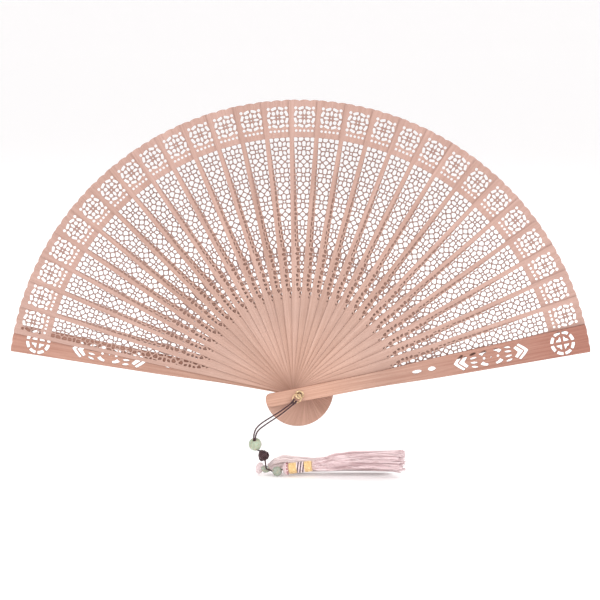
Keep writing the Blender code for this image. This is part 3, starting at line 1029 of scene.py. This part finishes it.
def make_round_bead(node, radius, bore, axis, jade, ribs):
    """A turned bead with softened bore edges and shallow carved ribs along it."""
    lip = degrees(asin((bore + 0.25 * MM) / radius))
    profile = [(bore, radius * 0.90)]
    profile += arc((0.0, 0.0), radius, 90 - lip, lip - 90, 40)
    profile += [(bore, -radius * 0.90)]
    mesh = turned_mesh(node, profile, 72)
    for vertex in mesh.vertices:
        place = vertex.co
        if hypot(place.x, place.y) < bore * 1.02:
            continue
        swirl = atan2(place.y, place.x) * ribs + 2.4 * place.z / radius
        band = 1 - (place.z / radius) ** 4
        vertex.co = place * (1 - 0.028 * (0.5 - 0.5 * cos(swirl)) ** 3 * band)
    return stand_in(node, f"carved_{node}", mesh, axis, "jade", (jade,))


def make_knot(silk):
    """A round button knot: one cord woven over and under itself, round a hidden core."""
    centre = node_centre("cord_knot")
    radius = node_size("cord_knot").x / 2 - 0.9 * MM
    leads = 5
    bights = 4
    steps = 360
    points = []
    for step in range(steps):
        turn = 2 * pi * leads * step / steps
        latitude = 1.15 * sin(turn * bights / leads)
        reach = radius + cos(turn * bights / leads * 2 + turn) * 0.38 * MM
        points.append(centre + Vector((
            reach * cos(latitude) * cos(turn),
            reach * cos(latitude) * sin(turn),
            reach * sin(latitude),
        )))
    knot = tube_curve("button_knot", [points], 0.62 * MM, cyclic=True)
    fit(knot, "cord_silk", (silk,), "cord_knot")
    core = turned_mesh("knot_core", arc((0.0, 0.0), radius - 0.2 * MM, 90, -90, 24), 32)
    for vertex in core.vertices:
        vertex.co *= 1 + 0.02 * sin(9 * vertex.co.x / radius + 7 * vertex.co.z / radius)
    inner = new_object("button_knot_core", core)
    inner.location = centre
    return [knot, fit(inner, "cord_silk", (silk,))]


def make_leaf(jade):
    """A small carved leaf: pointed at both ends, with a midrib and side veins cut in each face."""
    size = node_size("bead_leaf")
    length = size.x * 0.99
    height = size.z * 0.92
    depth = size.y * 0.98
    around = 48
    along = 30
    shape = bmesh.new()
    rings = []
    for station in range(1, along):
        share = station / along
        fullness = sin(pi * share) ** 0.75 * (1.08 - 0.25 * share)
        ring = []
        for step in range(around):
            angle = 2 * pi * step / around
            across = cos(angle)
            through = sin(angle)
            rib = exp(-((across * fullness) / 0.09) ** 2)
            vein = 0.5 - 0.5 * cos(2 * pi * (share * 7 - abs(across) * 1.6))
            cut = 1 - 0.20 * rib - 0.10 * vein ** 3 * abs(through)
            ring.append(shape.verts.new((
                length * (share - 0.5),
                depth / 2 * fullness * through * cut,
                height / 2 * fullness * across,
            )))
        rings.append(ring)
    skin(shape, rings)
    for place, ring in ((-length / 2, rings[0]), (length / 2, rings[-1])):
        point = shape.verts.new((place, 0, 0))
        for step in range(around):
            shape.faces.new((point, ring[step - 1], ring[step]))
    bmesh.ops.recalc_face_normals(shape, faces=shape.faces)
    tilt = Vector((sin(LEAF_TILT), 0.0, cos(LEAF_TILT)))
    return stand_in("bead_leaf", "carved_leaf", smooth_mesh("leaf", shape), tilt, "jade", (jade,))


# ---- tassel

def wound_profile(length, radius):
    """The profile of thread wound side by side: one small ridge for each turn."""
    turns = max(3, round(length / THREAD_PITCH))
    profile = [(0.0, length / 2)]
    for part in range(5 * turns):
        share = part / 5 / turns
        ridge = abs(sin(pi * part / 5))
        slope = 1 - 0.05 * abs(2 * share - 1) ** 3
        profile.append((radius * slope - 0.22 * THREAD_PITCH * (1 - ridge), length * (0.5 - share)))
    profile.append((0.0, -length / 2))
    return profile


def make_wrap(node, piece, silks, slot_name, bands=()):
    """One wound section of the tassel's neck; bands are shares of its length in the second silk."""
    size = node_size(node)
    radius = size.z / 2 - 0.05 * MM
    length = size.x * 0.97
    mesh = turned_mesh(piece, wound_profile(length, radius), 40)
    for polygon in mesh.polygons:
        share = 0.5 + polygon.center.z / length + 0.16 * polygon.center.x / radius
        polygon.material_index = 1 if any(abs(share - band) < 0.075 for band in bands) else 0
    return stand_in(node, piece, mesh, TASSEL_DIRECTION, slot_name, silks)


def add_stitches(shape, stitches, radius, height):
    """A row of small stitches round a head, in its second material."""
    for stitch in range(stitches):
        made = bmesh.ops.create_uvsphere(shape, u_segments=10, v_segments=6, radius=STITCH_RADIUS)
        turn = Matrix.Rotation(2 * pi * stitch / stitches, 4, "Z")
        shift = Matrix.Translation((radius, 0.0, height))
        squeeze = Matrix.Diagonal((0.6, 1.0, 1.5, 1.0))
        bmesh.ops.transform(shape, matrix=turn @ shift @ squeeze, verts=made["verts"])
        for vertex in made["verts"]:
            for face in vertex.link_faces:
                face.material_index = 1


def gathered_cap(node, piece, direction, silks, lobes, stitches):
    """The tassel's rounded head: threads drawn together over a core, with a row of stitches."""
    size = node_size(node)
    length, width = (size.x, size.z) if abs(direction.x) > 0.7 else (size.z, size.y)
    radius = width / 2 - 0.1 * MM
    length *= 0.94
    profile = [(0.0, length / 2)]
    for step in range(1, 24):
        share = step / 24
        profile.append((radius * sin(pi * share) ** 0.42, length * (0.5 - share)))
    profile.append((0.0, -length / 2))
    mesh = turned_mesh(piece, profile, 6 * lobes)
    for vertex in mesh.vertices:
        groove = abs(sin(atan2(vertex.co.y, vertex.co.x) * lobes / 2))
        scale = 1 - 0.06 * (1 - groove) ** 2
        vertex.co.x *= scale
        vertex.co.y *= scale
    shape = bmesh.new()
    shape.from_mesh(mesh)
    add_stitches(shape, stitches, radius * 0.93, length * 0.18)
    shape.to_mesh(mesh)
    shape.free()
    mesh.shade_smooth()
    return stand_in(node, piece, mesh, direction, "tassel_silk", silks)


def stations_at(stations, share):
    """The centre and radius a share of the way along a row of stations."""
    place = share * (len(stations) - 1)
    index = min(int(place), len(stations) - 2)
    t = place - index
    (centre, radius), (next_centre, next_radius) = stations[index:index + 2]
    return centre.lerp(next_centre, t), radius + (next_radius - radius) * t * t * (3 - 2 * t)


def wave(luck, rates, sizes):
    """A random wave along a thread: its rate, phase and size."""
    return luck.uniform(*rates), luck.uniform(0, 6.3), luck.uniform(*sizes) * MM


def sway_at(waves, share):
    """The waves' sum, a share of the way along a thread."""
    return sum(size * sin(rate * 6.28 * share + phase) for rate, phase, size in waves)


def thread_bundle(piece, node, stations, silk, seed, strands, threads):
    """Silk threads in soft strands, laid along the stations, and free at their ends."""
    luck = random.Random(seed)
    steps = 28
    runs = []
    for strand in range(strands):
        angle = 2 * pi * strand * 0.618
        reach = sqrt((strand + 0.6) / strands) * 0.93
        waves = [wave(luck, (0.5, 1.7), (0.2, 0.75)) for _ in range(4)]
        turn = luck.uniform(-3.0, 3.0)
        strand_end = luck.uniform(0.955, 1.0)
        for thread in range(threads):
            lean = 2 * pi * thread / threads + luck.uniform(-0.4, 0.4)
            offset = sqrt(luck.uniform(0.05, 1.0))
            fine = [wave(luck, (1.5, 3.5), (0.05, 0.22))]
            end = strand_end * luck.uniform(0.965, 1.0)
            splay = Vector((0.0, luck.gauss(0, 0.5), luck.gauss(0, 0.5)))
            run = []
            for step in range(steps + 1):
                share = step / steps
                centre, radius = stations_at(stations, share * end)
                loose = min(1.0, share * 2.5)
                flare = max(share - 0.78, 0.0) ** 2 * 14 * MM
                bunch = across_x((0.18 + 0.62 * loose) * MM * offset, lean + turn * share)
                sway = Vector((0.0, sway_at(waves[:2] + fine, share), sway_at(waves[2:] + fine, share)))
                spread = across_x((radius - 0.6 * MM) * reach, angle)
                run.append(centre + spread + bunch + sway * loose * 0.7 + splay * flare)
            runs.append(run)
    mesh = mesh_of(tube_curve(piece, runs, THREAD_RADIUS, resolution=0))
    mesh.shade_smooth()
    return fit(new_object(piece, mesh), "tassel_silk", (silk,), node)


def bundle_core(piece, stations, silk):
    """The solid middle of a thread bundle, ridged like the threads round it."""
    around = 40
    along = 40
    shape = bmesh.new()
    rings = []
    for station in range(along + 1):
        share = 0.93 * station / along
        centre, radius = stations_at(stations, share)
        ring = []
        for step in range(around):
            angle = 2 * pi * step / around
            reach = radius * (0.70 + 0.05 * sin(angle * 11 + 2 * sin(5 * share)))
            ring.append(shape.verts.new(centre + across_x(reach, angle)))
        rings.append(ring)
    skin(shape, rings)
    shape.faces.new(rings[0][::-1])
    shape.faces.new(rings[-1])
    bmesh.ops.recalc_face_normals(shape, faces=shape.faces)
    return fit(new_object(piece, smooth_mesh(piece, shape)), "tassel_silk", (silk,))


def make_tassel(pink, pearl_pink, pearl, gold, band, red):
    """The banded tassel, and the smaller paler tuft behind it."""
    return [
        gathered_cap("tassel_cap", "tassel_head", TASSEL_DIRECTION, (pink, red), 18, 11),
        make_wrap("tassel_wrap_upper", "wound_upper", (gold,), "wrap_silk"),
        make_wrap("tassel_wrap_middle", "wound_middle", (pearl, band), "band_silk", (0.16, 0.5, 0.84)),
        make_wrap("tassel_wrap_lower", "wound_lower", (gold,), "wrap_silk"),
        thread_bundle("skirt_threads", "tassel_skirt", SKIRT_STATIONS, pink, 11, 40, 10),
        bundle_core("skirt_core", SKIRT_STATIONS, pink),
        thread_bundle("rear_threads", "tassel_rear_skirt", REAR_SKIRT_STATIONS, pearl_pink, 23, 26, 9),
        bundle_core("rear_core", REAR_SKIRT_STATIONS, pearl_pink),
        gathered_cap("tassel_rear_cap", "rear_head", REAR_HEAD_DIRECTION, (pearl, red), 14, 0),
    ]


# ---- studio

def make_floor():
    """A pale floor that curves up into a backdrop."""
    profile = [(FLOOR_NEAR, 0.0), (FLOOR_FAR, 0.0)]
    for step in range(1, 13):
        angle = step * pi / 24
        rise = SWEEP_RADIUS * (1 - cos(angle))
        profile.append((FLOOR_FAR + SWEEP_RADIUS * sin(angle), rise))
    profile.append((FLOOR_FAR + SWEEP_RADIUS, SWEEP_HEIGHT))
    places = [
        (across, depth, FLOOR_HEIGHT + height)
        for depth, height in profile for across in (-SWEEP_HALF_WIDTH, SWEEP_HALF_WIDTH)
    ]
    faces = [(row, row + 1, row + 3, row + 2) for row in range(0, len(places) - 2, 2)]
    mesh = bpy.data.meshes.new("studio_sweep")
    mesh.from_pydata(places, [], faces)
    mesh.shade_smooth()
    mesh.materials.append(floor_material())
    new_object("studio_sweep", mesh)


def look_along(item, direction):
    item.rotation_mode = "QUATERNION"
    item.rotation_quaternion = direction.to_track_quat("-Z", "Y")


def make_lights():
    """Soft light from all round, and three large lamps: name, place, size, power and colour."""
    world = bpy.data.worlds.new("soft_surround")
    bpy.context.scene.world = world
    world.use_nodes = True
    background = world.node_tree.nodes["Background"]
    background.inputs["Color"].default_value = (1.0, 0.985, 0.99, 1.0)
    background.inputs["Strength"].default_value = 0.88
    for name, place, size, power, colour in (
        ("key_light", (-0.9, -1.6, 1.2), 1.1, 15.0, (1.0, 0.985, 0.97)),
        ("fill_light", (1.3, -1.4, 0.6), 1.2, 9.0, (0.98, 0.99, 1.0)),
        ("rim_light", (0.3, 1.0, 1.3), 1.0, 8.0, (1.0, 1.0, 1.0)),
    ):
        light = bpy.data.lights.new(name, "AREA")
        light.shape = "DISK"
        light.size = size
        light.energy = power
        light.color = colour
        lamp = new_object(name, light)
        lamp.location = place
        look_along(lamp, Vector((0.0, 0.0, 0.06)) - Vector(place))


def make_camera():
    camera = bpy.data.cameras.new("camera")
    camera.sensor_width = SENSOR
    camera.lens = SENSOR * VIEW_DISTANCE / VIEW_WIDTH
    camera.clip_start = 0.1
    camera.clip_end = 20.0
    holder = new_object("camera", camera)
    tilt = radians(VIEW_ELEVATION)
    back = Vector((0.0, -cos(tilt), sin(tilt)))
    holder.location = VIEW_TARGET + back * VIEW_DISTANCE
    look_along(holder, -back)
    bpy.context.scene.camera = holder
    bpy.context.scene.view_settings.view_transform = "Standard"


def main():
    make_floor()
    make_lights()
    make_camera()

    # Blade wood: grain colours, streak share, painted shade on the cut walls, tone towards the outer end, painted
    # shade on the open lattice, and the slope of the edge in front, whose strip behind it gets painted shade.
    blade_look = (
        (0.565, 0.385, 0.318), (0.400, 0.238, 0.180), 0.5, (0.60, 0.48, 0.45), (0.95, 0.94, 0.98),
        (0.60, 0.59, 0.62), 0.0636,
    )
    wood = wood_material("blade_sandalwood", *blade_look, backing=(0.0636, 3.8))
    first_wood = wood_material("first_blade_sandalwood", *blade_look, backing=(0.0449, 4.1))
    # Guards: grain colours, streak share and painted shade on the cut walls; then the tone towards the outer end,
    # and for the back guard the slope of the first blade's edge, whose strip behind it gets painted shade.
    guard_look = ((0.545, 0.355, 0.280), (0.365, 0.20, 0.145), 0.7, (0.62, 0.48, 0.44))
    front_wood = wood_material("guard_sandalwood", *guard_look, (0.76, 0.56, 0.54))
    back_wood = wood_material("pale_guard_sandalwood", *guard_look, (1.0, 0.88, 0.88), cover=0.0376)
    brass = metal_material("bright_brass", (0.88, 0.66, 0.40), (0.42, 0.28, 0.17), 0.24)
    steel = metal_material("plated_steel", (0.34, 0.25, 0.26), (0.20, 0.14, 0.15), 0.34)
    silk = cord_material()
    jade = jade_material("pale_jade", (0.46, 0.52, 0.38), (0.30, 0.36, 0.25))
    grey_jade = jade_material("grey_jade", (0.36, 0.39, 0.31), (0.22, 0.25, 0.19))
    pink = thread_material("pink_thread", (0.90, 0.74, 0.75), (0.52, 0.33, 0.34))
    pearl_pink = thread_material("pale_thread", (0.90, 0.80, 0.79), (0.66, 0.50, 0.50))
    wound = (1.0, 1.0, 3.0)
    pearl = thread_material("pearl_thread", (0.86, 0.74, 0.74), (0.66, 0.50, 0.52), wound)
    gold = thread_material("gold_thread", (0.90, 0.66, 0.34), (0.62, 0.38, 0.14), wound)
    band = thread_material("dark_thread", (0.10, 0.045, 0.06), (0.05, 0.02, 0.03), wound)
    red = thread_material("red_thread", (0.42, 0.06, 0.10), (0.22, 0.02, 0.05), wound)

    make_blades(wood, first_wood, ribbon_material())
    make_guards(front_wood, back_wood)
    make_washers(steel, brass)
    pin_materials = frame["nodes"]["pivot_pin"].data.materials
    pin_materials.clear()
    pin_materials.append(brass)
    make_ring(brass)
    hitch = make_hitch(silk)
    on_cord = [
        make_round_bead("bead_large", 4.0 * MM, 1.0 * MM, BEAD_AXIS, jade, 7),
        make_round_bead("bead_small", 3.05 * MM, 0.7 * MM, SMALL_BEAD_AXIS, grey_jade, 5),
        make_leaf(grey_jade),
    ]
    on_cord += make_knot(silk)
    on_cord += make_tassel(pink, pearl_pink, pearl, gold, band, red)
    make_cords(silk, hitch, on_cord)


main()
